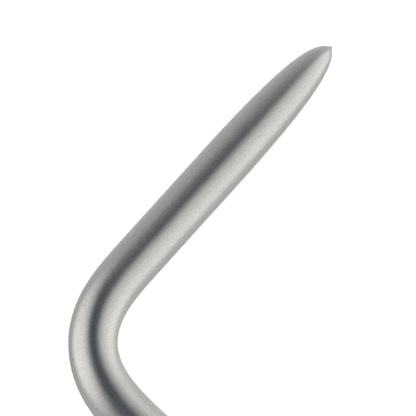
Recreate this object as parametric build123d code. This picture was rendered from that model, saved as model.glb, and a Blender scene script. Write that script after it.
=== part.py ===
from build123d import *

import math
import os

# A double-ended engineer's scriber, lying on a bench.
#
# A hollow knurled handle carries a collet chuck at each end. One chuck grips a straight point and
# the other a point bent through a right angle. The handle lies along X, with the bent point at +X,
# and its leg reaches out along -Y and leans down until its tip touches the bench. Z points up.
# The origin is on the handle's axis, halfway along the tube. All sizes are in millimetres.
#
# Chuck pieces are drawn with X as the distance outward from the tube's end face, on the handle's
# axis, and at_end() then places them at either end of the handle.

# ---- points: round bar with a ground, bullet-shaped tip ----
shank_r = 2.0               # parallel shank that a collet grips
working_r = 1.87            # the working end is drawn a little thinner than the shank
ease_length = 1.5           # length over which the bar thins from one to the other
straight_reach = 66.0       # tube end face to the straight point's tip
straight_shank_past = 0.5   # its shank ends this far in front of the fully opened nut
bend_reach = 63.0           # tube end face to the crossing of the bent point's two axes
leg_reach = 33.15           # that crossing to the tip of the leg
bend_turn = 90.0            # degrees between the shank and the leg
bend_core_r = 6.4           # centreline radius in the middle of the bend
bend_entry_r = 16.9         # slacker centreline radius where the bar runs in and out of the bend
bend_entry_turn = 11.6      # degrees turned by each of those two entries
taper_length = 13.4         # ground length of a tip
tip_nose = 0.06             # length of the tip's steep end, as a share of the taper
tip_rise = 0.37             # how steeply that end starts, as a share of the radius
shank_inner = 12.0          # how far a shank reaches in behind the tube's end face
shank_chamfer = 0.4

# ---- clearances ----
slide_fit = 0.03            # point in its collet, radial
run_fit = 0.05              # collet in its socket, closing ring and threads in the nut, radial
bore_clear = 0.15           # point in the chuck body's bore, radial
mouth_clear = 0.10          # collet nose in the nut's mouth, and its head in the snap ring, radial
seat_gap = 0.05             # faces that meet when the chuck is tight
side_play = 0.10            # rings between their neighbours, along the axis
nut_gap = 0.6               # nut's rear face to the chuck body's flange

# ---- collet ----
collet_tail_wall = 0.72     # springy tail round the shank
collet_head_step = 0.85     # head stands this much outside the tail
collet_nose_wall = 0.87     # wall of the nose, in front of the cone
collet_tail_length = 6.95
collet_head_length = 0.7
collet_cone_length = 3.6
collet_proud = 0.6          # nose stands this far out of the nut
collet_nose_chamfer = 0.4
slot_width = 0.5
slot_pairs = 2              # each straight cut makes two opposite slots
slot_solid_tail = 2.4       # uncut length at the collet's rear
slot_relief_r = 0.5         # round hole that ends each slot

# ---- chuck body ----
flange_length = 2.0
flange_chamfer = 0.3
relief_length = 0.8         # thread run-out groove
relief_depth = 0.10         # groove below the thread's root
socket_wall = 0.74          # wall between the collet's socket and the thread's root
thread_pitch = 0.75
thread_turns = 9            # full turns of thread on the chuck body
nut_turns = 8               # turns that open the nut to the last of its thread
thread_depth_share = 0.6134  # depth of an external 60 degree thread, per pitch
thread_flank_angle = 30.0   # degrees from square to the axis
lead_length = 0.45          # chamfered lead in front of the thread
spigot_length = 16.0        # pressed into the tube
spigot_chamfer = 0.4
lock_pin_r = 0.6
lock_pin_back = 4.6         # tube end face to the pin's axis
lock_pin_inner = 0.6        # the pin's inner end stops this far outside the shank

# ---- chuck nut and its rings ----
nut_wall = 1.05             # nut's bore to its knurled outside
nut_land_drop = 0.2         # plain lands below the knurl's crests
nut_rear_land = 0.8
nut_knurl_length = 9.2
nut_nose_length = 4.0       # conical front
nut_nose_wall = 0.9         # rim round the mouth
nut_lip_length = 3.65       # front wall that the closing ring pushes on
nut_chamfer = 0.3
ring_cone_clear = 0.04      # closing ring's cone off the collet's cone, radial
ring_rear_step = 0.25       # ring starts this far along the collet's cone
snap_ring_length = 0.6
snap_ring_bite = 0.35       # snap ring stands this far into the nut's wall
snap_ring_split = 1.4       # gap in the snap ring

# ---- handle ----
handle_length = 88.0
grip_length = 68.0          # knurled stretch in the middle
grip_stand = 0.3            # knurl's crests above the plain bands
grip_groove_length = 0.8    # run-out groove at each end of the knurl
grip_groove_depth = 0.3     # below the plain bands
grip_chamfer = 0.3
band_stand = 0.10           # plain bands above the nut's outside
tube_wall = 1.4             # round the spigot
tube_shoulder = 0.4         # middle bore is this much smaller than the spigots
spigot_end_gap = 0.3        # spigot to the shoulder inside the tube
tube_chamfer = 0.3

# ---- radii that follow from the sizes above, from the axis outwards ----
chuck_bore_r = shank_r + bore_clear
collet_bore_r = shank_r + slide_fit
collet_tail_r = collet_bore_r + collet_tail_wall
collet_head_r = collet_tail_r + collet_head_step
collet_nose_r = collet_bore_r + collet_nose_wall
socket_r = collet_tail_r + run_fit
thread_root_r = socket_r + socket_wall
thread_r = thread_root_r + thread_depth_share * thread_pitch
nut_bore_r = thread_r + run_fit
nut_mouth_r = collet_nose_r + mouth_clear
nut_r = nut_bore_r + nut_wall
nut_land_r = nut_r - nut_land_drop
nut_nose_r = nut_mouth_r + nut_nose_wall
snap_inner_r = collet_head_r + mouth_clear
snap_outer_r = nut_bore_r + snap_ring_bite
closing_ring_r = nut_bore_r - run_fit
band_r = nut_r + band_stand
grip_r = band_r + grip_stand
groove_r = band_r - grip_groove_depth
spigot_r = band_r - tube_wall
tube_bore_r = spigot_r - tube_shoulder

# ---- places along a chuck, outward from the tube's end face ----
thread_start = flange_length + relief_length
thread_end = thread_start + thread_turns * thread_pitch
chuck_front = thread_end + lead_length
head_rear = chuck_front + seat_gap
cone_start = head_rear + collet_head_length
cone_end = cone_start + collet_cone_length
tail_rear = head_rear - collet_tail_length
socket_floor = tail_rear - side_play
ring_rear = cone_start + ring_rear_step
ring_front = cone_end - seat_gap
nut_rear = flange_length + nut_gap
nut_shoulder = ring_front + seat_gap
nut_front = nut_shoulder + nut_lip_length
nut_travel = nut_turns * thread_pitch
nut_knurl_start = nut_rear + nut_rear_land
nut_knurl_end = nut_knurl_start + nut_knurl_length
snap_front = ring_rear - side_play
snap_rear = snap_front - snap_ring_length
collet_front = nut_front + collet_proud
half_handle = handle_length / 2
half_grip = grip_length / 2


def turned(*profile):
    """A solid turned about the X axis from the corners (x, radius) of half its section."""
    outline = Polyline(*[(x, radius) for x, radius in profile], close=True)
    return revolve(make_face(outline), axis=Axis.X)


def at_end(shape, bent_end):
    """Place a chuck piece, drawn outward along X, at the bent end or the straight end."""
    place = Location((half_handle, 0, 0))
    if bent_end:
        return place * shape
    return Location((0, 0, 0), (0, 0, 180)) * place * shape


def handle_tube():
    """The hollow grip: a knurled middle between run-out grooves and two plain bands."""
    groove_end = half_grip + grip_groove_length
    half = [
        (half_grip - grip_chamfer, grip_r),
        (half_grip, grip_r - grip_chamfer),
        (half_grip, groove_r),
        (groove_end, groove_r),
        (groove_end, band_r),
        (half_handle - tube_chamfer, band_r),
        (half_handle, band_r - tube_chamfer),
        (half_handle, spigot_r),
        (half_handle - spigot_length - spigot_end_gap, spigot_r),
        (half_handle - spigot_length - spigot_end_gap, tube_bore_r),
    ]
    mirrored = [(-x, radius) for x, radius in reversed(half)]
    tube = turned(*half, *mirrored)
    for bent_end in (True, False):
        tube -= at_end(lock_pin_hole(), bent_end)
    return tube


def lock_pin_hole():
    """The radial hole that one locking pin fills, drilled from above into the chuck's bore."""
    hole = Cylinder(lock_pin_r, grip_r, align=(Align.CENTER, Align.CENTER, Align.MIN))
    return Location((-lock_pin_back, 0, 0)) * hole


def locking_pin():
    """A plain pin through the tube's wall and the spigot, flush with the band at its rim."""
    inner = shank_r + lock_pin_inner
    outer = math.sqrt(band_r**2 - lock_pin_r**2)
    pin = Cylinder(lock_pin_r, outer - inner, align=(Align.CENTER, Align.CENTER, Align.MIN))
    return Location((-lock_pin_back, 0, inner)) * pin


def thread_profile():
    """Corners of the thread, drawn as rings of 60 degree section with flat crests and roots."""
    flank = (thread_r - thread_root_r) * math.tan(math.radians(thread_flank_angle))
    flat = (thread_pitch - 2 * flank) / 2
    corners = []
    for turn in range(thread_turns):
        x = thread_start + turn * thread_pitch + flat / 2
        corners += [(x, thread_root_r), (x + flank, thread_r)]
        corners += [(x + flank + flat, thread_r), (x + 2 * flank + flat, thread_root_r)]
    return corners


def chuck_body():
    """Spigot, flange, thread and collet socket, bored through for the point's shank."""
    relief_r = thread_root_r - relief_depth
    body = turned(
        (-spigot_length, chuck_bore_r),
        (-spigot_length, spigot_r - spigot_chamfer),
        (-spigot_length + spigot_chamfer, spigot_r),
        (0, spigot_r),
        (0, band_r - flange_chamfer),
        (flange_chamfer, band_r),
        (flange_length - flange_chamfer, band_r),
        (flange_length, band_r - flange_chamfer),
        (flange_length, relief_r),
        (thread_start, relief_r),
        *thread_profile(),
        (chuck_front, thread_root_r),
        (chuck_front, socket_r),
        (socket_floor, socket_r),
        (socket_floor, chuck_bore_r),
    )
    return body - lock_pin_hole()


def collet():
    """A slotted spring collet: tail in the socket, head against its rim, cone and nose in the nut."""
    body = turned(
        (tail_rear, collet_bore_r),
        (tail_rear, collet_tail_r),
        (head_rear, collet_tail_r),
        (head_rear, collet_head_r),
        (cone_start, collet_head_r),
        (cone_end, collet_nose_r),
        (collet_front - collet_nose_chamfer, collet_nose_r),
        (collet_front, collet_nose_r - collet_nose_chamfer),
        (collet_front, collet_bore_r),
    )
    slot_start = tail_rear + slot_solid_tail
    slot_length = collet_front - slot_start
    across = 2 * collet_head_r + slot_width
    start_face = (Align.MIN, Align.CENTER, Align.CENTER)
    slot = Box(slot_length + slot_width, slot_width, across, align=start_face)
    cut = Location((slot_start, 0, 0)) * (slot + Cylinder(slot_relief_r, across))
    for pair in range(slot_pairs):
        body -= Location((0, 0, 0), (180 / slot_pairs * (pair + 0.5), 0, 0)) * cut
    return body


def closing_ring():
    """The ring that squeezes the collet: cylinder outside, the collet's cone inside."""
    slope = (collet_head_r - collet_nose_r) / collet_cone_length
    rear_r = collet_head_r + ring_cone_clear - slope * (ring_rear - cone_start)
    front_r = collet_head_r + ring_cone_clear - slope * (ring_front - cone_start)
    return turned(
        (ring_rear, rear_r),
        (ring_rear, closing_ring_r),
        (ring_front, closing_ring_r),
        (ring_front, front_r),
    )


def snap_ring():
    """The split wire ring, in the nut's groove, that draws the closing ring back with the nut."""
    ring = turned(
        (snap_rear, snap_inner_r),
        (snap_rear, snap_outer_r),
        (snap_front, snap_outer_r),
        (snap_front, snap_inner_r),
    )
    upward = (Align.MIN, Align.CENTER, Align.MIN)
    split = Box(snap_ring_length, snap_ring_split, snap_outer_r, align=upward)
    return ring - Location((snap_rear, 0, 0)) * split


def chuck_nut():
    """The knurled nut: threaded bore, snap ring groove, shoulder for the closing ring, and mouth."""
    groove_rear = snap_rear - seat_gap
    groove_front = snap_front + seat_gap
    groove_bottom_r = snap_outer_r + run_fit
    return turned(
        (nut_rear, nut_bore_r),
        (nut_rear, nut_land_r - nut_chamfer),
        (nut_rear + nut_chamfer, nut_land_r),
        (nut_knurl_start, nut_land_r),
        (nut_knurl_start + nut_land_drop, nut_r),
        (nut_knurl_end - nut_land_drop, nut_r),
        (nut_knurl_end, nut_land_r),
        (nut_front - nut_nose_length, nut_land_r),
        (nut_front, nut_nose_r),
        (nut_front, nut_mouth_r + nut_chamfer),
        (nut_front - nut_chamfer, nut_mouth_r),
        (nut_shoulder, nut_mouth_r),
        (nut_shoulder, nut_bore_r),
        (groove_front, nut_bore_r),
        (groove_front, groove_bottom_r),
        (groove_rear, groove_bottom_r),
        (groove_rear, nut_bore_r),
    )


def tip_curve(reach, radius):
    """Half the outline of a ground tip: steep at the point, then easing into the parallel bar."""
    return Bezier(
        (reach, 0),
        (reach - tip_nose * taper_length, tip_rise * radius),
        (reach - tip_nose * taper_length, radius),
        (reach - taper_length, radius),
    )


def ground_bar(rear_corners, reach, radius):
    """A round bar along X: the corners (x, radius) of its rear, a parallel stretch and a ground tip."""
    rear = Polyline((reach, 0), *rear_corners, (reach - taper_length, radius))
    return revolve(make_face([*rear.edges(), tip_curve(reach, radius)]), axis=Axis.X)


def shank_rear():
    """Corners of a shank's chamfered inner end, on the axis first."""
    return [
        (-shank_inner, 0),
        (-shank_inner, shank_r - shank_chamfer),
        (-shank_inner + shank_chamfer, shank_r),
    ]


def straight_point():
    """Straight point, drawn outward along X: its shank thins just in front of the opened nut."""
    shank_end = nut_front + nut_travel + straight_shank_past
    thinning = [(shank_end, shank_r), (shank_end + ease_length, working_r)]
    return ground_bar([*shank_rear(), *thinning], straight_reach, working_r)


def bend_tangent_length():
    """Distance from the start of the bend to the crossing of the two straight axes."""
    entry = math.radians(bend_entry_turn)
    half_turn = math.radians(bend_turn / 2)
    along = bend_entry_r * math.sin(entry) + bend_core_r * (math.sin(half_turn) - math.sin(entry))
    aside = bend_entry_r * (1 - math.cos(entry)) + bend_core_r * (math.cos(entry) - math.cos(half_turn))
    return along + aside * math.tan(half_turn)


def leg_lean():
    """Angle by which the leg leans down so that its ground tip just touches the bench.

    A surface point at distance a along the leg and radius r from its axis reaches the bench when
    sqrt(a^2 + r^2) sin(lean + atan(r / a)) equals the handle's height. The first to do so decides.
    """
    steps = 400
    outline = tip_curve(leg_reach, working_r)
    leans = []
    for step in range(steps + 1):
        point = outline @ (step / steps)
        leans.append(math.asin(grip_r / math.hypot(point.X, point.Y)) - math.atan2(point.Y, point.X))
    return math.degrees(min(leans))


def bent_point():
    """Bent point, drawn outward along X: straight shank, bend of three tangent arcs, then the leg."""
    tangent = bend_tangent_length()
    bend_start = bend_reach - tangent
    core_turn = bend_turn - 2 * bend_entry_turn
    entry = JernArc((bend_start, 0), (1, 0), bend_entry_r, -bend_entry_turn)
    core = JernArc(entry @ 1, entry % 1, bend_core_r, -core_turn)
    leave = JernArc(core @ 1, core % 1, bend_entry_r, -bend_entry_turn)
    path = Wire([entry, core, leave])
    section = Plane(origin=(bend_start, 0, 0), z_dir=(1, 0, 0)) * Circle(shank_r)
    bend = sweep(section, path=path)
    shank = turned(*shank_rear(), (bend_start, shank_r), (bend_start, 0))
    thinning = [(tangent, shank_r), (tangent + ease_length, working_r)]
    leg = ground_bar([(tangent, 0), *thinning], leg_reach, working_r)
    leg = Location((bend_reach, 0, 0), (0, 0, -bend_turn)) * leg
    return Location((0, 0, 0), (leg_lean(), 0, 0)) * (shank + bend + leg)


CHUCK_PIECES = {
    "chuck_body": chuck_body,
    "locking_pin": locking_pin,
    "collet": collet,
    "closing_ring": closing_ring,
    "snap_ring": snap_ring,
    "chuck_nut": chuck_nut,
}


def all_pieces():
    """Every piece of the scriber in its place, by name."""
    pieces = {"handle_tube": handle_tube()}
    for end_name, bent_end in (("bent_end", True), ("straight_end", False)):
        for piece_name, make in CHUCK_PIECES.items():
            pieces[f"{end_name}_{piece_name}"] = at_end(make(), bent_end)
    pieces["bent_point"] = at_end(bent_point(), True)
    pieces["straight_point"] = at_end(straight_point(), False)
    return pieces


def main():
    os.makedirs("parts", exist_ok=True)
    for name, piece in all_pieces().items():
        piece.label = name
        export_step(piece, f"parts/{name}.step")
    print(f"leg leans {leg_lean():.2f} degrees, bend tangent length {bend_tangent_length():.2f} mm")


main()
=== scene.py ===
# %% [markdown]
# # A double-ended scriber
#
# A scriber scratches layout lines into metal. This one is a hollow knurled handle with a small
# collet chuck at each end: one chuck holds a straight point, the other a point bent through a right
# angle. The imported model already has every piece at its real size and every joint between them, so
# this file only gives the pieces their surfaces and their finishes. We load that model first, as a
# fixed frame, and read its sizes from the boxes of its pieces. Nothing that we make may outgrow it.

# %% Load the frame
import math

import bpy
import numpy as np
from mathutils import Matrix, Vector


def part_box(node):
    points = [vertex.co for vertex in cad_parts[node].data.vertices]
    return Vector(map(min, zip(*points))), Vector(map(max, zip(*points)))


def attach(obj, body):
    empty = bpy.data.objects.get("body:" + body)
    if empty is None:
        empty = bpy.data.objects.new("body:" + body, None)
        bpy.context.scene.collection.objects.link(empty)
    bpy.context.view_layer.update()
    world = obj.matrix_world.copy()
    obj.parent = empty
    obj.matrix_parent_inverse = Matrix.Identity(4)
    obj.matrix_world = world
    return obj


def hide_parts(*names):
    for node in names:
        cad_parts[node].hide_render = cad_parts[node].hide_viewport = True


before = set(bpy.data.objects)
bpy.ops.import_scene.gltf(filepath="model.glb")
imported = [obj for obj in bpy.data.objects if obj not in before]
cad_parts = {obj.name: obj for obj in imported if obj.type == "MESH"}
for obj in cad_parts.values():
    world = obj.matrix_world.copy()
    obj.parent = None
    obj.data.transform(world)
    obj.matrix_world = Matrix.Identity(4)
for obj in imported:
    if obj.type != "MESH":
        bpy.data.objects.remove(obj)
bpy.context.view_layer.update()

# %% [markdown]
# ## Sizes
#
# Blender works in metres and a maker thinks in millimetres, so every size here is in millimetres and
# is multiplied by MM once, when a mesh is made. Lengths and radii that the frame knows are read from
# its boxes. Along a chuck we measure from the end face of the tube outwards, which lets one function
# make the piece for both ends.

# %% Sizes that the frame gives
MM = 0.001


def box_mm(node):
    """The lowest and the highest corner of a CAD node, in millimetres."""
    low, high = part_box(node)
    return np.array(low) / MM, np.array(high) / MM


half_handle, _, grip_r = box_mm("handle_tube")[1]
body_low, body_high = box_mm("bent_end_chuck_body")
nut_low, nut_high = box_mm("bent_end_chuck_nut")
bar_low, bar_high = box_mm("bent_point")

band_r = body_high[2]
nut_r = nut_high[2]
spigot_length = half_handle - body_low[0]
chuck_front = body_high[0] - half_handle
nut_rear = nut_low[0] - half_handle
nut_front = nut_high[0] - half_handle
bar_rear = bar_low[0]
straight_reach = -box_mm("straight_point")[0][0] - half_handle
shank_r = bar_high[1]
print(f"handle {2 * half_handle:.1f} long, grip radius {grip_r:.2f}, band {band_r:.2f}, nut {nut_r:.2f}")
print(f"nut from {nut_rear:.2f} to {nut_front:.2f} past the tube, shank radius {shank_r:.2f}")

# %% [markdown]
# ## Meshes from whole arrays
#
# Everything on a scriber is round, so every piece can be written as rings of points: one axis of the
# array runs along the piece and the other runs round it. You could model these by hand with a lathe
# (the Screw modifier) and then cut the knurl with hundreds of Booleans, but that is slow and leaves
# slivers. An array lets us change the radius of each point by a formula instead, and numpy works out
# all the points at once. Two helpers do the rest: one joins neighbouring rings with faces, and one
# rounds the corners of an outline a little, because a real edge always catches a thin line of light.

# %% Faces between rings
def ring_faces(rows, around, looped, lean_back=None):
    """Triangles between neighbouring rings of points, facing outwards.

    Point (i, j) is number i * around + j. The last column joins the first, and in a looped piece the
    last ring joins the first as well. Each cell is cut along one diagonal. lean_back is an array of
    (rows, around) that is True where the cell is to be cut along the other one.
    """
    i = np.arange(rows if looped else rows - 1)[:, None]
    j = np.arange(around)[None, :]
    here, past = i * around, (i + 1) % rows * around
    beside = (j + 1) % around
    a, b, c, d = here + j, here + beside, past + beside, past + j
    forward = np.stack([a, b, c, a, c, d], axis=-1)
    if lean_back is None:
        return forward.reshape(-1, 3)
    backward = np.stack([a, b, d, b, c, d], axis=-1)
    return np.where(lean_back[: len(i), :, None], backward, forward).reshape(-1, 3)


def pole_faces(rows, around):
    """Triangles that close both ends of an unlooped piece onto its two poles, numbered last."""
    j = np.arange(around)
    beside = (j + 1) % around
    first, last = rows * around, rows * around + 1
    end = (rows - 1) * around
    start_fan = np.stack([np.full(around, first), beside, j], axis=-1)
    end_fan = np.stack([np.full(around, last), end + j, end + beside], axis=-1)
    return np.concatenate([start_fan, end_fan])


def make_piece(name, rings, poles=None, lean_back=None, values=None):
    """An object from rings of points in millimetres, smooth shaded, with its place in its mesh.

    rings has the shape (rows, around, 3). Without poles the piece is looped along its length too, as
    a tube with a bore is. values are numbers or vectors for each point, kept as named attributes.
    """
    rows, around, _ = rings.shape
    points = rings.reshape(-1, 3)
    faces = ring_faces(rows, around, poles is None, lean_back)
    if poles is not None:
        points = np.concatenate([points, poles])
        faces = np.concatenate([faces, pole_faces(rows, around)])
    mesh = bpy.data.meshes.new(name)
    mesh.from_pydata((points * MM).tolist(), [], faces.tolist())
    mesh.shade_smooth()
    for key, data in (values or {}).items():
        flat = np.asarray(data, np.float32)
        kind, field = ("FLOAT_VECTOR", "vector") if flat.shape[-1] == 3 else ("FLOAT", "value")
        layer = mesh.attributes.new(key, kind, "POINT")
        layer.data.foreach_set(field, flat.ravel())
    mesh.update()
    piece = bpy.data.objects.new(name, mesh)
    bpy.context.scene.collection.objects.link(piece)
    print(f"{name}: {len(points)} points, {len(faces)} triangles")
    return piece


# %% Outlines with eased edges
def eased(corners, ease=0.06):
    """An open outline of (x, radius) with each inner corner rounded.

    On both sides of a corner, points at one and two ease lengths hold the flats flat, and between
    the nearer two the middle of a parabola rounds the edge. A short side gets a smaller ease.
    """
    corners = np.asarray(corners, float)
    here, back, on = corners[1:-1], corners[:-2] - corners[1:-1], corners[2:] - corners[1:-1]
    back_length = np.linalg.norm(back, axis=1, keepdims=True)
    on_length = np.linalg.norm(on, axis=1, keepdims=True)
    side = 0.2 * np.minimum(back_length, on_length)
    step = np.minimum(ease, side)
    before, after = back / back_length * step, on / on_length * step
    middle = here + (before + after) / 4
    points = np.stack([here + 2 * before, here + before, middle, here + after, here + 2 * after], axis=1)
    return np.concatenate([corners[:1], points.reshape(-1, 2), corners[-1:]])


def turned_rings(x, radius, bent_end):
    """Rings about the handle's axis: radius is (rows, around), and x runs outward from the tube's end.

    The straight end is the bent end turned half round about Z, so that nothing is mirrored.
    """
    around = radius.shape[1]
    angle = np.arange(around) / around * 2 * math.pi
    out = 1 if bent_end else -1
    along = np.broadcast_to((half_handle + x)[:, None], radius.shape)
    return np.stack([out * along, out * radius * np.cos(angle), radius * np.sin(angle)], axis=-1)


# %% [markdown]
# ## The two points
#
# Each point is a ground round bar, and one of them is bent cold round a former. A curve object with
# a bevel would give a bent bar too, but not one that thins through the bend and ends in a ground,
# bullet-shaped tip. So we carry a profile along a path: the path turns smoothly, fastest in the
# middle of the bend, and the profile is the bar's radius at each distance along it. Every point also
# keeps its place in the bar as it was before bending, so that the grain of the steel can follow the
# bar round the corner.

# %% The path of a bar
bend_turn = math.radians(90)
bend_half = 9.28            # the bar turns over this length on each side of the bend's middle
bend_reach = 63.0           # end face of the tube to the crossing of the two straight axes
leg_reach = 33.15           # that crossing to the tip of the leg
leg_lean = math.acos(-bar_low[1] / leg_reach)
path_step = 0.02


def bar_path(length, bend_middle, turn):
    """Distances along a bar, and its axis and heading at each of them, before the leg leans down.

    The heading is turn / 2 * (1 + q + sin(pi q) / pi), where q runs from -1 to 1 through the bend, so
    the curvature is a raised cosine. Adding up cosine and sine of the heading gives the axis.
    """
    distance = np.arange(0, length + path_step, path_step)
    q = np.clip((distance - bend_middle) / bend_half, -1, 1)
    heading = turn / 2 * (1 + q + np.sin(math.pi * q) / math.pi)
    step = np.stack([np.cos(heading), -np.sin(heading)], axis=-1) * path_step
    axis = np.concatenate([[[0, 0]], np.cumsum((step[1:] + step[:-1]) / 2, axis=0)])
    return distance, axis, heading


_, bend_axis, _ = bar_path(2 * bend_half, bend_half, bend_turn)
bend_tangent = bend_axis[-1, 0]
print(f"the bend starts {bend_tangent:.2f} mm before the crossing")
print(f"the leg leans down by {math.degrees(leg_lean):.2f} degrees")

# %% The profile of a bar
working_r = 1.87            # the working end is drawn a little thinner than the shank
shank_chamfer = 0.4
taper_length = 13.4         # ground length of a tip
tip_nose = 0.06             # length of the tip's steep end, as a share of the taper
tip_rise = 0.37             # how steeply that end starts, as a share of the radius
rear_end = 2.0              # length of the rear end that the chamfer is drawn in
drawn_step = 0.25           # distance between rings on the drawn length
tip_rings = 90
bar_around = 96


def smooth_step(value, low, high):
    """0 below low and 1 above high, with a smooth S between."""
    q = np.clip((value - low) / (high - low), 0, 1)
    return q * q * (3 - 2 * q)


def bar_profile(length, thin_from, thin_to):
    """Distance from the bar's rear and radius there: a chamfered rear, a drawn length and the tip.

    The tip is one cubic curve. It leaves the axis steeply and runs into the bar with no edge.
    """
    rear = [(0, 0), (0, shank_r - shank_chamfer), (shank_chamfer, shank_r), (rear_end, shank_r)]
    rear = eased(rear)[1:-1]
    drawn = np.arange(rear_end, length - taper_length, drawn_step)
    drawn_r = shank_r + (working_r - shank_r) * smooth_step(drawn, thin_from, thin_to)
    u = np.linspace(1, 0, tip_rings)[:-1, None]
    handles = np.array([(0, 0), (tip_nose, tip_rise), (tip_nose, 1), (1, 1)])
    weights = np.concatenate([(1 - u) ** 3, 3 * u * (1 - u) ** 2, 3 * u**2 * (1 - u), u**3], axis=1)
    tip = weights @ handles * (-taper_length, working_r) + (length, 0)
    return np.concatenate([rear, np.stack([drawn, drawn_r], axis=-1), tip])


# %% A bar: its profile carried along its path
def bar_rings(profile, path, off_centre):
    """Rings square to the path, their poles, and every point's place in the unbent bar.

    A ring's points are axis + radius * (cos(angle) * sideways + sin(angle) * up). off_centre moves
    a ring sideways, for a tip that was ground by hand.
    """
    distance, axis, heading = path
    along, radius = profile.T
    centre_x = np.interp(along, distance, axis[:, 0])[:, None]
    centre_y = np.interp(along, distance, axis[:, 1])[:, None]
    turn = np.interp(along, distance, heading)[:, None]
    angle = np.arange(bar_around)[None, :] / bar_around * 2 * math.pi
    sideways = radius[:, None] * np.cos(angle) + off_centre[:, None]
    up = radius[:, None] * np.sin(angle)
    rings = np.stack([centre_x + sideways * np.sin(turn), centre_y + sideways * np.cos(turn), up], axis=-1)
    unbent = np.stack([np.broadcast_to(along[:, None], up.shape), sideways, up], axis=-1)
    return rings, unbent


wander_most = -0.12         # how far the very end of a hand-ground tip strays sideways
wander_length = 0.6         # and the distance back over which most of that is gone


def tip_wander(back):
    """Sideways stray of the tip's axis: its most at the end, dying away exponentially behind it."""
    return wander_most * np.exp(-back / wander_length)


def make_bar(length, bend_middle, turn, thin_from, thin_to, wander):
    """A whole bar, still lying along X from its rear end at the origin."""
    profile = bar_profile(length, thin_from, thin_to)
    path = bar_path(length, bend_middle, turn)
    off_centre = wander * tip_wander(length - profile[:, 0])
    rings, unbent = bar_rings(profile, path, off_centre)
    poles = np.stack([[0, 0, 0], rings[-1].mean(axis=0)])
    tip_way = np.array([math.cos(turn), -math.sin(turn), 0])
    poles[1] += tip_way * (length - profile[-1, 0])
    kept = np.concatenate([unbent.reshape(-1, 3), [[0, 0, 0], [length, 0, 0]]])
    return rings, poles, kept


# %% Make the bent point
middle = half_handle + bend_reach - bar_rear - bend_tangent + bend_half
bent_length = middle + bend_half + leg_reach - bend_tangent
thin_from, thin_to = middle - 5.0, middle + 0.5
rings, poles, unbent = make_bar(bent_length, middle, bend_turn, thin_from, thin_to, 1)


def lean_leg(points):
    """Turn the bar about its shank until the tip of the leg touches the bench, and put it in place."""
    cos, sin = math.cos(leg_lean), math.sin(leg_lean)
    x, y, z = points[..., 0], points[..., 1], points[..., 2]
    return np.stack([bar_rear + x, y * cos - z * sin, y * sin + z * cos], axis=-1)


bent_bar = make_piece("bent_bar", lean_leg(rings), lean_leg(poles), values={"unbent": unbent})

# %% Make the straight point
shank_inner = half_handle - bar_rear
straight_length = shank_inner + straight_reach
thin_from = shank_inner + 24.5      # just in front of the opened nut
rings, poles, unbent = make_bar(straight_length, 0, 0, thin_from, thin_from + 1.5, 0.5)


def to_straight_end(points):
    """Place a bar that lies along X at the straight end, by half a turn about Z."""
    x, y, z = points[..., 0], points[..., 1], points[..., 2]
    return np.stack([-(bar_rear + x), -y, z], axis=-1)


straight_bar = make_piece(
    "straight_bar", to_straight_end(rings), to_straight_end(poles), values={"unbent": unbent}
)

# %% [markdown]
# ## The knurl
#
# A knurl is pressed, not cut: two hardened wheels with slanting teeth roll round the bar and raise a
# pattern of small pyramids. On paper it is two families of V grooves that wind round the bar in
# opposite directions. If a and b count the grooves crossed in each family, a groove's bottom lies
# wherever a or b is a whole number, and a pyramid's crest lies halfway between. The height at a point
# is then one line of arithmetic. A bump texture would give the same pattern for less work, but the
# outline of the grip would stay smooth, and this is a pattern that fingers and eyes both notice.

# %% Knurl height
def groove(count):
    """1 at a whole number, falling evenly to 0 halfway to the next."""
    return 1 - 2 * np.abs(count - np.round(count))


def knurl(rows, around_count, fine, land):
    """How deep each point of a knurl lies, from 0 on a crest to 1 in a groove, and how to cut cells.

    rows pyramids along and around_count round the bar, each divided into 2 * fine steps. The crests
    are worn flat over the share called land. A cell is cut along the groove that is nearer.
    """
    i = np.arange(rows * 2 * fine + 1)[:, None] / (2 * fine)
    j = np.arange(around_count * 2 * fine)[None, :] / (2 * fine)
    half_cell = 0.25 / fine
    depth = np.maximum(groove(i + j), groove(i - j))
    depth = np.clip((depth - land) / (1 - land), 0, 1)
    first = groove(i + j + 2 * half_cell)
    second = groove(i - j)
    return depth, first >= second


def tooth_pitch(radius, around_count):
    """Length of a pyramid along the bar, for grooves that wind at 30 degrees to the axis."""
    return 2 * math.pi * radius / around_count / math.tan(math.radians(30))


# %% [markdown]
# ## The handle
#
# The handle is a tube with the knurl rolled onto its raised middle. Its outline is a closed loop: up
# the outside, in over the end face, back through the stepped bore and out again at the other end.
# The knurl's rows are part of that same loop, so the tube stays one watertight skin. At each end a
# locking pin goes through the wall. Only these two holes are cut with a Boolean, because a round hole
# in a round wall has no place in rows and columns.

# %% Make the handle
half_grip = 34.0            # half of the knurled stretch
groove_end = 34.8           # outer edge of the knurl's run-out groove
groove_r = 4.9
spigot_r = 3.8
tube_bore_r = 3.4
shoulder_x = 27.7           # step inside the tube, behind the chuck body's spigot
edge_chamfer = 0.3
grip_teeth = 28
grip_depth = 0.32
knurl_land = 0.25
knurl_fine = 4
plain_shade_depth = 0.35          # depth given to the plain surfaces on the knurl's scale of 0 to 1, too shallow for the painted groove shade


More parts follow.
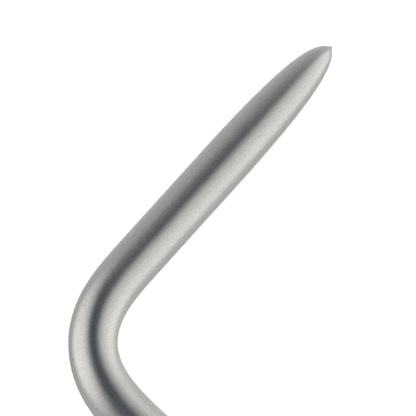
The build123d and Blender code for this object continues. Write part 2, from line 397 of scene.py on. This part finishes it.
def grip_rings():
    """Rings for the whole tube, each point's depth in the knurl, and the way to cut each cell."""
    rows = round(2 * half_grip / tooth_pitch(grip_r, grip_teeth))
    depth, leans = knurl(rows, grip_teeth, knurl_fine, knurl_land)
    around = depth.shape[1]
    knurl_x = np.linspace(-half_grip, half_grip, len(depth))
    limit = grip_r - np.clip(edge_chamfer - (half_grip - np.abs(knurl_x)), 0, edge_chamfer)
    knurl_radius = np.minimum(grip_r - grip_depth * depth, limit[:, None])
    right = [
        (half_grip, groove_r), (groove_end, groove_r), (groove_end, band_r),
        (half_handle - edge_chamfer, band_r), (half_handle, band_r - edge_chamfer),
        (half_handle, spigot_r), (shoulder_x, spigot_r), (shoulder_x, tube_bore_r),
    ]
    left = [(-x, radius) for x, radius in reversed(right)]
    plain = eased(right + left)
    x = np.concatenate([plain[:, 0], knurl_x])
    plain_radius = np.broadcast_to(plain[:, 1:], (len(plain), around))
    radius = np.concatenate([plain_radius, knurl_radius])
    # Depth that drives the painted shade in the grooves: the knurl's own, and a shallow fixed one on the
    # plain surfaces.
    shade_depth = np.concatenate([np.full((len(plain), around), plain_shade_depth), depth])
    leaning = np.concatenate([np.zeros((len(plain), around), bool), leans])
    return x, radius, shade_depth, leaning


x, radius, shade_depth, leaning = grip_rings()
rings = turned_rings(x - half_handle, radius, True)
handle = make_piece("knurled_handle", rings, lean_back=leaning, values={"shade_depth": shade_depth.reshape(-1)})

# %% Drill the locking-pin holes
pin_r = 0.6
pin_back = 4.6              # end face of the tube to the pin's axis
cutter_sides = 40


def drill(piece, x, low):
    """Cut one round hole from above down to the height low, and keep its rim sharp.

    The cutter is turned by a third of a side, so that none of its corners falls on a line of points.
    """
    high = band_r + 2
    middle = (x * MM, 0, (high + low) / 2 * MM)
    third = 2 * math.pi / cutter_sides / 3
    bpy.ops.mesh.primitive_cylinder_add(
        vertices=cutter_sides, radius=pin_r * MM, depth=(high - low) * MM, location=middle,
        rotation=(0, 0, third),
    )
    cutter = bpy.context.object
    cut = piece.modifiers.new("hole", "BOOLEAN")
    cut.operation = "DIFFERENCE"
    cut.solver = "EXACT"
    cut.object = cutter
    drilled = bpy.data.meshes.new_from_object(piece.evaluated_get(bpy.context.evaluated_depsgraph_get()))
    piece.modifiers.remove(cut)
    piece.data = drilled
    drilled.set_sharp_from_angle(angle=math.radians(60))
    bpy.data.objects.remove(cutter)


for side in (1, -1):
    drill(handle, side * (half_handle - pin_back), tube_bore_r - 0.2)
print("handle after drilling:", len(handle.data.polygons), "faces,", sorted(handle.data.attributes.keys()))

# %% [markdown]
# ## The chuck nuts
#
# Each nut has a finer knurl than the handle, a plain land on both sides of it and a conical nose.
# The outline runs from the knurl over the nose, into the mouth, past the shoulder that pushes the
# closing ring and the snap ring's groove, and out along the bore. Both nuts come from one function.

# %% Make the nuts
nut_land_r = nut_r - 0.2
nut_nose_r = 3.9
nut_mouth_r = 3.0
nut_bore_r = 4.05
nut_groove_r = 4.45
nut_knurl_from, nut_knurl_to = 3.4, 12.6
nut_cone_from = nut_front - 4.0
nut_shoulder = 14.35
ring_groove_from, ring_groove_to = 10.25, 10.95     # groove for the snap ring
nut_teeth = 36
nut_depth = 0.24


def nut_rings():
    """x, radius and knurl depth for a nut, which drives its painted groove shade, as for the grip, with a
    loop that closes through its bore.
    """
    rows = round((nut_knurl_to - nut_knurl_from) / tooth_pitch(nut_r, nut_teeth))
    depth, leans = knurl(rows, nut_teeth, knurl_fine - 1, knurl_land)
    around = depth.shape[1]
    knurl_x = np.linspace(nut_knurl_from, nut_knurl_to, len(depth))
    from_end = np.minimum(knurl_x - nut_knurl_from, nut_knurl_to - knurl_x)
    limit = np.minimum(nut_r, nut_land_r + from_end)
    knurl_radius = np.minimum(nut_r - nut_depth * depth, limit[:, None])
    plain = eased([
        (nut_knurl_to + 0.05, nut_land_r), (nut_cone_from, nut_land_r), (nut_front, nut_nose_r),
        (nut_front, nut_mouth_r + edge_chamfer), (nut_front - edge_chamfer, nut_mouth_r),
        (nut_shoulder, nut_mouth_r), (nut_shoulder, nut_bore_r), (ring_groove_to, nut_bore_r),
        (ring_groove_to, nut_groove_r), (ring_groove_from, nut_groove_r),
        (ring_groove_from, nut_bore_r), (nut_rear, nut_bore_r),
        (nut_rear, nut_land_r - edge_chamfer), (nut_rear + edge_chamfer, nut_land_r),
        (nut_knurl_from - 0.05, nut_land_r),
    ])
    x = np.concatenate([plain[:, 0], knurl_x])
    radius = np.concatenate([np.broadcast_to(plain[:, 1:], (len(plain), around)), knurl_radius])
    # Depth that drives the painted shade in the grooves, as on the grip.
    shade_depth = np.concatenate([np.full((len(plain), around), plain_shade_depth), depth])
    leaning = np.concatenate([np.zeros((len(plain), around), bool), leans])
    return x, radius, shade_depth, leaning


x, radius, shade_depth, leaning = nut_rings()
nuts = {}
for end, bent_end in (("bent", True), ("straight", False)):
    rings = turned_rings(x, radius, bent_end)
    nuts[end] = make_piece(f"{end}_nut_shell", rings, lean_back=leaning, values={"shade_depth": shade_depth.reshape(-1)})

# %% [markdown]
# ## The chuck bodies
#
# A chuck body is pressed into the tube and pinned. In front of its flange it carries the thread that
# the nut runs on. A screw thread is a ridge that climbs by one pitch for each turn, so its radius
# depends only on x / pitch minus the share of a turn: that is all it takes to turn rings into a
# helix. The ridge fades in and out over half a pitch at both ends, as the tool runs in and out.

# %% Make the chuck bodies
thread_pitch = 0.75
thread_root_r = 3.54
thread_depth = 0.46
thread_from, thread_to = 2.8, 9.55
thread_rings = 200
root_flat = 0.08            # half of the flat at the root, as a share of the pitch
flank = 0.34                # and the flank
flange_length = 2.0
relief_r = 3.44
socket_r = 2.80
socket_floor = 3.0
body_bore_r = 2.15
spigot_chamfer = 0.4
body_around = 96


def thread_ridge(count):
    """Height of a 60 degree thread, 0 to 1, by the number of pitches: flat root, flank, flat crest."""
    share = count - np.floor(count)
    return np.clip((0.5 - np.abs(share - 0.5) - root_flat) / flank, 0, 1)


def body_rings():
    """x and radius for a chuck body, as one loop from the thread's front through its bore."""
    thread_x = np.linspace(thread_from, thread_to, thread_rings)
    turn = np.arange(body_around)[None, :] / body_around
    fade = smooth_step(np.minimum(thread_x - thread_from, thread_to - thread_x), 0, thread_pitch / 2)
    ridge = thread_ridge(thread_x[:, None] / thread_pitch - turn)
    thread_radius = thread_root_r + thread_depth * fade[:, None] * ridge
    plain = eased([
        (thread_to + 0.03, thread_root_r), (chuck_front, thread_root_r), (chuck_front, socket_r),
        (socket_floor, socket_r), (socket_floor, body_bore_r), (-spigot_length, body_bore_r),
        (-spigot_length, spigot_r - spigot_chamfer), (spigot_chamfer - spigot_length, spigot_r),
        (0, spigot_r), (0, band_r - edge_chamfer), (edge_chamfer, band_r),
        (flange_length - edge_chamfer, band_r), (flange_length, band_r - edge_chamfer),
        (flange_length, relief_r), (thread_from - 0.03, relief_r),
    ])
    x = np.concatenate([plain[:, 0], thread_x])
    plain_radius = np.broadcast_to(plain[:, 1:], (len(plain), body_around))
    return x, np.concatenate([plain_radius, thread_radius])


x, radius = body_rings()
bodies = {}
for end, bent_end in (("bent", True), ("straight", False)):
    bodies[end] = make_piece(f"{end}_threaded_body", turned_rings(x, radius, bent_end))
    drill(bodies[end], (1 if bent_end else -1) * (half_handle - pin_back), 0)

# %% [markdown]
# ## Writing finishes as sums
#
# A finish is a tree of nodes, and a tree is tedious to wire by hand. Here a small class holds one
# output of a node, and the usual signs on it add Math nodes, so that 1 - grime * 0.5 can be written
# as it is read. Every other node comes from one method, which first sets the node's settings and
# then fills its sockets with numbers, colours or other outputs.

# %% Sums on node outputs
class Link:
    """One output of a node. + - * ** on it, with a number or another output, add a Math node."""

    def __init__(self, recipe, socket):
        self.recipe = recipe
        self.socket = socket

    def math(self, operation, first, second):
        return self.recipe.node("Math", {"operation": operation}, {0: first, 1: second})

    def __add__(self, other):
        return self.math("ADD", self, other)

    def __radd__(self, other):
        return self.math("ADD", other, self)

    def __sub__(self, other):
        return self.math("SUBTRACT", self, other)

    def __rsub__(self, other):
        return self.math("SUBTRACT", other, self)

    def __mul__(self, other):
        return self.math("MULTIPLY", self, other)

    def __rmul__(self, other):
        return self.math("MULTIPLY", other, self)

    def __pow__(self, other):
        return self.math("POWER", self, other)


class Recipe:
    """The node tree of a material or a world while it is being written."""

    def __init__(self, owner):
        owner.use_nodes = True
        self.owner = owner
        self.tree = owner.node_tree
        self.tree.nodes.clear()

    def node(self, kind, settings=None, sockets=None, output=0):
        """Add a node and return one of its outputs. Settings come first, since they choose sockets."""
        node = self.tree.nodes.new("ShaderNode" + kind)
        for key, value in (settings or {}).items():
            setattr(node, key, value)
        for key, value in (sockets or {}).items():
            if isinstance(value, Link):
                self.tree.links.new(value.socket, node.inputs[key])
            else:
                node.inputs[key].default_value = value
        return Link(self, node.outputs[output])

    def mix(self, share, first, second):
        """The colour share of the way from first to second."""
        names = {"Factor": share, 6: first, 7: second}
        return self.node("Mix", {"data_type": "RGBA"}, names, output=2)

    def noise(self, place, scale, detail=2.0, roughness=0.5):
        """Even noise from 0 to 1 at a place. scale is in cells for each unit of the place."""
        sockets = {"Vector": place, "Scale": scale, "Detail": detail, "Roughness": roughness}
        return self.node("TexNoise", {}, sockets, output="Fac")

    def stretched(self, place, sizes):
        """The place with each of its three directions multiplied by a number of its own."""
        return self.node("VectorMath", {"operation": "MULTIPLY"}, {0: place, 1: sizes})

    def metal(self, colour, roughness, edge, height=None, relief=0.0, strength=1.0):
        """Finish the tree with a bare metal: its colour, roughness, darker rim and small relief."""
        sockets = {"Base Color": colour, "Metallic": 1.0, "Roughness": roughness, "Specular Tint": edge}
        if height is not None:
            bump = {"Height": height, "Distance": relief * MM, "Strength": strength}
            sockets["Normal"] = self.node("Bump", {}, bump)
        surface = self.node("BsdfPrincipled", {}, sockets)
        self.node_out("OutputMaterial", surface)
        return self.owner

    def node_out(self, kind, surface):
        out = self.tree.nodes.new("ShaderNode" + kind)
        self.tree.links.new(surface.socket, out.inputs["Surface"])


def new_finish(name):
    return Recipe(bpy.data.materials.new(name))


PER_MM = 1000.0             # cells in a metre for one cell in a millimetre

# %% [markdown]
# ## Satin steel
#
# The points are ground, then blasted with fine beads, which leaves an even satin: every spot of the
# surface leans a little, so reflections are soft, but the bar still shows light and dark bands along
# it. We let the roughness do most of that and add a bump of about a tenth of a millimetre for the
# peened skin, with faint draw lines that run along the bar. The noise reads the place that each point
# had before the bar was bent, so the lines follow the bend.

# %% Make the satin steel
def satin_steel():
    finish = new_finish("blasted_steel")
    place = finish.node("Attribute", {"attribute_name": "unbent"}, output="Vector")
    skin = finish.noise(place, 7.0, 3.0, 0.6)
    cloud = finish.noise(place, 0.55, 2.0, 0.5)
    lines = finish.noise(finish.stretched(place, (0.12, 3.5, 3.5)), 2.2, 2.0, 0.5)
    shade = (skin - 0.5) * 1.8 + (cloud - 0.5) * 0.25 + (lines - 0.5) * 0.30 + 0.5
    colour = finish.mix(shade, (0.46, 0.468, 0.475, 1), (0.61, 0.612, 0.61, 1))
    roughness = 0.22 + (skin - 0.5) * 0.10 + (cloud - 0.5) * 0.05
    height = skin + lines * 0.5
    return finish.metal(colour, roughness, (0.60, 0.60, 0.61, 1), height, 0.004, 0.6)


satin = satin_steel()

# %% [markdown]
# ## Nickel plate on the knurl
#
# The handle and the nuts are steel with a thin nickel plate, which is a little warm in colour. The
# deep part of each knurl groove is darkened as painted shade, unevenly, and made rougher. The meshes
# carry the depth of the knurl in a point attribute, so the finish needs no guess where the grooves are.

# %% Make the nickel plate
def nickel_plate():
    finish = new_finish("nickel_plate")
    place = finish.node("TexCoord", {}, output="Object")
    depth = finish.node("Attribute", {"attribute_name": "shade_depth"}, output="Fac")
    speckle = finish.noise(place, 6.0 * PER_MM, 3.0, 0.6)
    smear = finish.noise(place, 0.25 * PER_MM, 2.0, 0.5)
    # Painted shade: past 0.45 of the way into a groove the plate darkens, unevenly with the smear noise, and
    # grows rougher.
    painted_groove_shade = (depth - 0.45) * (0.7 + smear * 0.9)
    painted_groove_shade = finish.node("Math", {"operation": "MAXIMUM", "use_clamp": True}, {0: painted_groove_shade, 1: 0.0})
    clean = finish.mix(speckle, (0.60, 0.575, 0.535, 1), (0.70, 0.675, 0.63, 1))
    # The plate's speckled colour, with the painted groove shade over it, near black in the deepest grooves.
    colour = finish.mix(painted_groove_shade, clean, (0.085, 0.075, 0.065, 1))
    roughness = 0.24 + painted_groove_shade * 0.45 + (smear - 0.5) * 0.10
    return finish.metal(colour, roughness, (0.75, 0.75, 0.75, 1), speckle, 0.003, 0.35)


nickel = nickel_plate()

# %% [markdown]
# ## Turned metal
#
# A lathe leaves fine rings. On a piece that was turned about X, a ring is wherever x and the distance
# from the axis stay the same, so a noise that reads only those two numbers draws tool marks on
# cylinders, cones and end faces alike. One function makes the steel of the chuck bodies, the blued
# spring steel of the collets, the bronze of the closing rings, and the rest.

# %% Make the turned metals
def turned_metal(name, dark, light, roughness, mark_size, relief):
    """Metal with lathe rings of mark_size millimetres, between two colours, stained a little."""
    finish = new_finish(name)
    place = finish.node("TexCoord", {}, output="Object")
    parts = finish.node("SeparateXYZ", {}, {0: place}, output="X")
    y, z = (Link(finish, parts.socket.node.outputs[axis]) for axis in ("Y", "Z"))
    from_axis = (y * y + z * z) ** 0.5
    ring = finish.node("CombineXYZ", {}, {"X": parts, "Y": from_axis})
    marks = finish.noise(ring, PER_MM / mark_size, 3.0, 0.6)
    stain = finish.noise(place, 0.5 * PER_MM, 3.0, 0.6)
    shade = (marks - 0.5) * 0.6 + (stain - 0.5) * 0.8 + 0.5
    colour = finish.mix(shade, dark, light)
    rough = roughness + (marks - 0.5) * 0.12 + (stain - 0.5) * 0.12
    return finish.metal(colour, rough, (0.75, 0.75, 0.75, 1), marks, relief, 0.5)


steel_colours = (0.40, 0.40, 0.40, 1), (0.60, 0.60, 0.59, 1)
turned_steel = turned_metal("lathe_turned_steel", *steel_colours, 0.28, 0.09, 0.004)
blued_colours = (0.045, 0.06, 0.11, 1), (0.13, 0.16, 0.23, 1)
spring_steel = turned_metal("blued_spring_steel", *blued_colours, 0.30, 0.10, 0.004)
bronze_colours = (0.42, 0.24, 0.10, 1), (0.66, 0.42, 0.20, 1)
bronze = turned_metal("turned_bronze", *bronze_colours, 0.30, 0.10, 0.005)
wire_colours = (0.10, 0.10, 0.105, 1), (0.22, 0.22, 0.22, 1)
spring_wire = turned_metal("drawn_wire", *wire_colours, 0.36, 0.16, 0.003)
pin_colours = (0.30, 0.30, 0.305, 1), (0.52, 0.52, 0.52, 1)
pin_steel = turned_metal("ground_pin_steel", *pin_colours, 0.34, 0.12, 0.005)

# %% [markdown]
# ## Putting the pieces on the frame
#
# Each new piece is hung on an empty for the CAD body it moves with, the CAD node it stands for is
# hidden, and it takes its finish. The pieces that keep their CAD shape only get a material.

# %% Ride, replace, finish
def place_on_frame(piece, body, node, material):
    """Give a new piece its finish, hang it on its body's empty and hide the CAD node it stands for."""
    piece.data.materials.clear()
    piece.data.materials.append(material)
    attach(piece, body)
    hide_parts(node)


place_on_frame(bent_bar, "bent_point", "bent_point", satin)
place_on_frame(straight_bar, "straight_point", "straight_point", satin)
place_on_frame(handle, "handle", "handle_tube", nickel)
for end in ("bent", "straight"):
    place_on_frame(nuts[end], f"{end}_nut", f"{end}_end_chuck_nut", nickel)
    place_on_frame(bodies[end], "handle", f"{end}_end_chuck_body", turned_steel)

cad_finishes = {
    "locking_pin": pin_steel,
    "collet": spring_steel,
    "closing_ring": bronze,
    "snap_ring": spring_wire,
}
for end in ("bent_end", "straight_end"):
    for piece_name, material in cad_finishes.items():
        for material_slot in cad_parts[f"{end}_{piece_name}"].material_slots:
            material_slot.material = material
print("kept CAD pieces:", ", ".join(cad_finishes))

# %% [markdown]
# ## The bench and the light
#
# Bright metal shows its surroundings and hardly anything of itself, so a studio puts it in a tent of
# white cloth and leaves one dark opening for the camera. The opening is what draws the dark band
# down the middle of a bar. A World shader can be that tent: for rays that come off metal it returns
# four soft panels by direction, and for everything else an even white, which washes the shadows out.
# Metal looks straight through the bench too, because two of the panels stand for its glow.

# %% The bench
floor_half = 30.0
corners = np.array([(-1, -1, 0), (1, -1, 0), (1, 1, 0), (-1, 1, 0)]) * floor_half
floor_mesh = bpy.data.meshes.new("bench")
floor_mesh.from_pydata((corners - (0, 0, grip_r * MM)).tolist(), [], [(0, 1, 2, 3)])
bench = bpy.data.objects.new("bench", floor_mesh)
bpy.context.scene.collection.objects.link(bench)

floor_finish = new_finish("bench_paint")
off_metal = floor_finish.node("LightPath", {}, output="Is Glossy Ray")
paint = floor_finish.node("BsdfDiffuse", {}, {"Color": (0.9, 0.9, 0.9, 1)})
clear = floor_finish.node("BsdfTransparent", {}, {})
seen_paint = floor_finish.node("MixShader", {}, {0: off_metal, 1: paint, 2: clear})
floor_finish.node_out("OutputMaterial", seen_paint)
floor_mesh.materials.append(floor_finish.owner)

# %% The camera
picture_width = 31.29       # what the picture spans at the bend, in millimetres
lens = 800.0                # a long lens, so that the bar keeps its width as it recedes
sensor = 36.0
leg_recede = math.radians(20)
leg_in_picture = math.radians(47.895)
aim_right, aim_up = 11.487, 10.679

tilt = leg_recede - leg_lean
back = np.array([0, math.sin(tilt), math.cos(tilt)])
leg_way = np.array([0, -math.cos(tilt), math.sin(tilt)])
handle_way = np.array([-1.0, 0, 0])
right = math.cos(leg_in_picture) * leg_way + math.sin(leg_in_picture) * handle_way
up = math.sin(leg_in_picture) * leg_way - math.cos(leg_in_picture) * handle_way
crossing = np.array([half_handle + bend_reach, 0, 0])
distance = picture_width * lens / sensor
stand = crossing + aim_right * right + aim_up * up + distance * back

camera_data = bpy.data.cameras.new("camera")
camera_data.lens = lens
camera_data.sensor_width = sensor
camera = bpy.data.objects.new("camera", camera_data)
turn = Matrix(np.stack([right, up, back], axis=1).tolist()).to_4x4()
camera.matrix_world = Matrix.Translation(Vector(stand * MM)) @ turn
bpy.context.scene.collection.objects.link(camera)
bpy.context.scene.camera = camera
print(f"the camera stands {distance:.0f} mm away")

# %% The tent
world = bpy.data.worlds.new("tent")
bpy.context.scene.world = world
world.cycles.sampling_method = "NONE"
tent = Recipe(world)
sky = tent.node("TexCoord", {}, output="Generated")
off_metal = tent.node("LightPath", {}, output="Is Glossy Ray")


def panel(azimuth, polar, reach, strength):
    """A round panel of light that fades from its middle to nothing at reach, all angles in degrees.

    Polar 0 is towards the camera. Azimuth 0 is towards the handle and 90 is along the bent leg.
    """
    polar, azimuth = math.radians(polar), math.radians(azimuth)
    side = math.cos(azimuth) * handle_way + math.sin(azimuth) * leg_way
    way = math.sin(polar) * side + math.cos(polar) * back
    facing = tent.node("VectorMath", {"operation": "DOT_PRODUCT"}, {0: sky, 1: tuple(way)}, output="Value")
    fade = {"Value": facing, "From Min": math.cos(math.radians(reach)), "From Max": 1.0, "To Max": strength}
    return tent.node("MapRange", {"interpolation_type": "SMOOTHSTEP"}, fade)


outer = panel(208, 70, 58, 1.05)        # lights the outside of the bend
inner = panel(50, 70, 60, 0.8)          # lights the inside of the bend
beyond = panel(115, 125, 90, 0.45)      # the bench beyond the tip
below = panel(320, 135, 150, 0.65)      # the bench under the handle, very wide
glow = outer + inner + beyond + below
warm, cool = (1.045, 1.01, 0.945), (0.105, 0.117, 0.13)
pattern = tent.node("CombineColor", {}, {i: glow * warm[i] + cool[i] for i in range(3)})
tent_white = 1.7            # even light on the bench, bright enough to wash its shadows out
white = (tent_white, tent_white, tent_white, 1)
seen = tent.mix(off_metal, white, pattern)
tent.node_out("OutputWorld", tent.node("Background", {}, {"Color": seen}))

bpy.context.scene.view_settings.view_transform = "Standard"

# %% [markdown]
# ## Plain numbers for boxes
#
# A last helper turns a box into plain lists of numbers.

# %% Boxes as plain lists
def plain(box):
    return [[float(number) for number in corner] for corner in box]
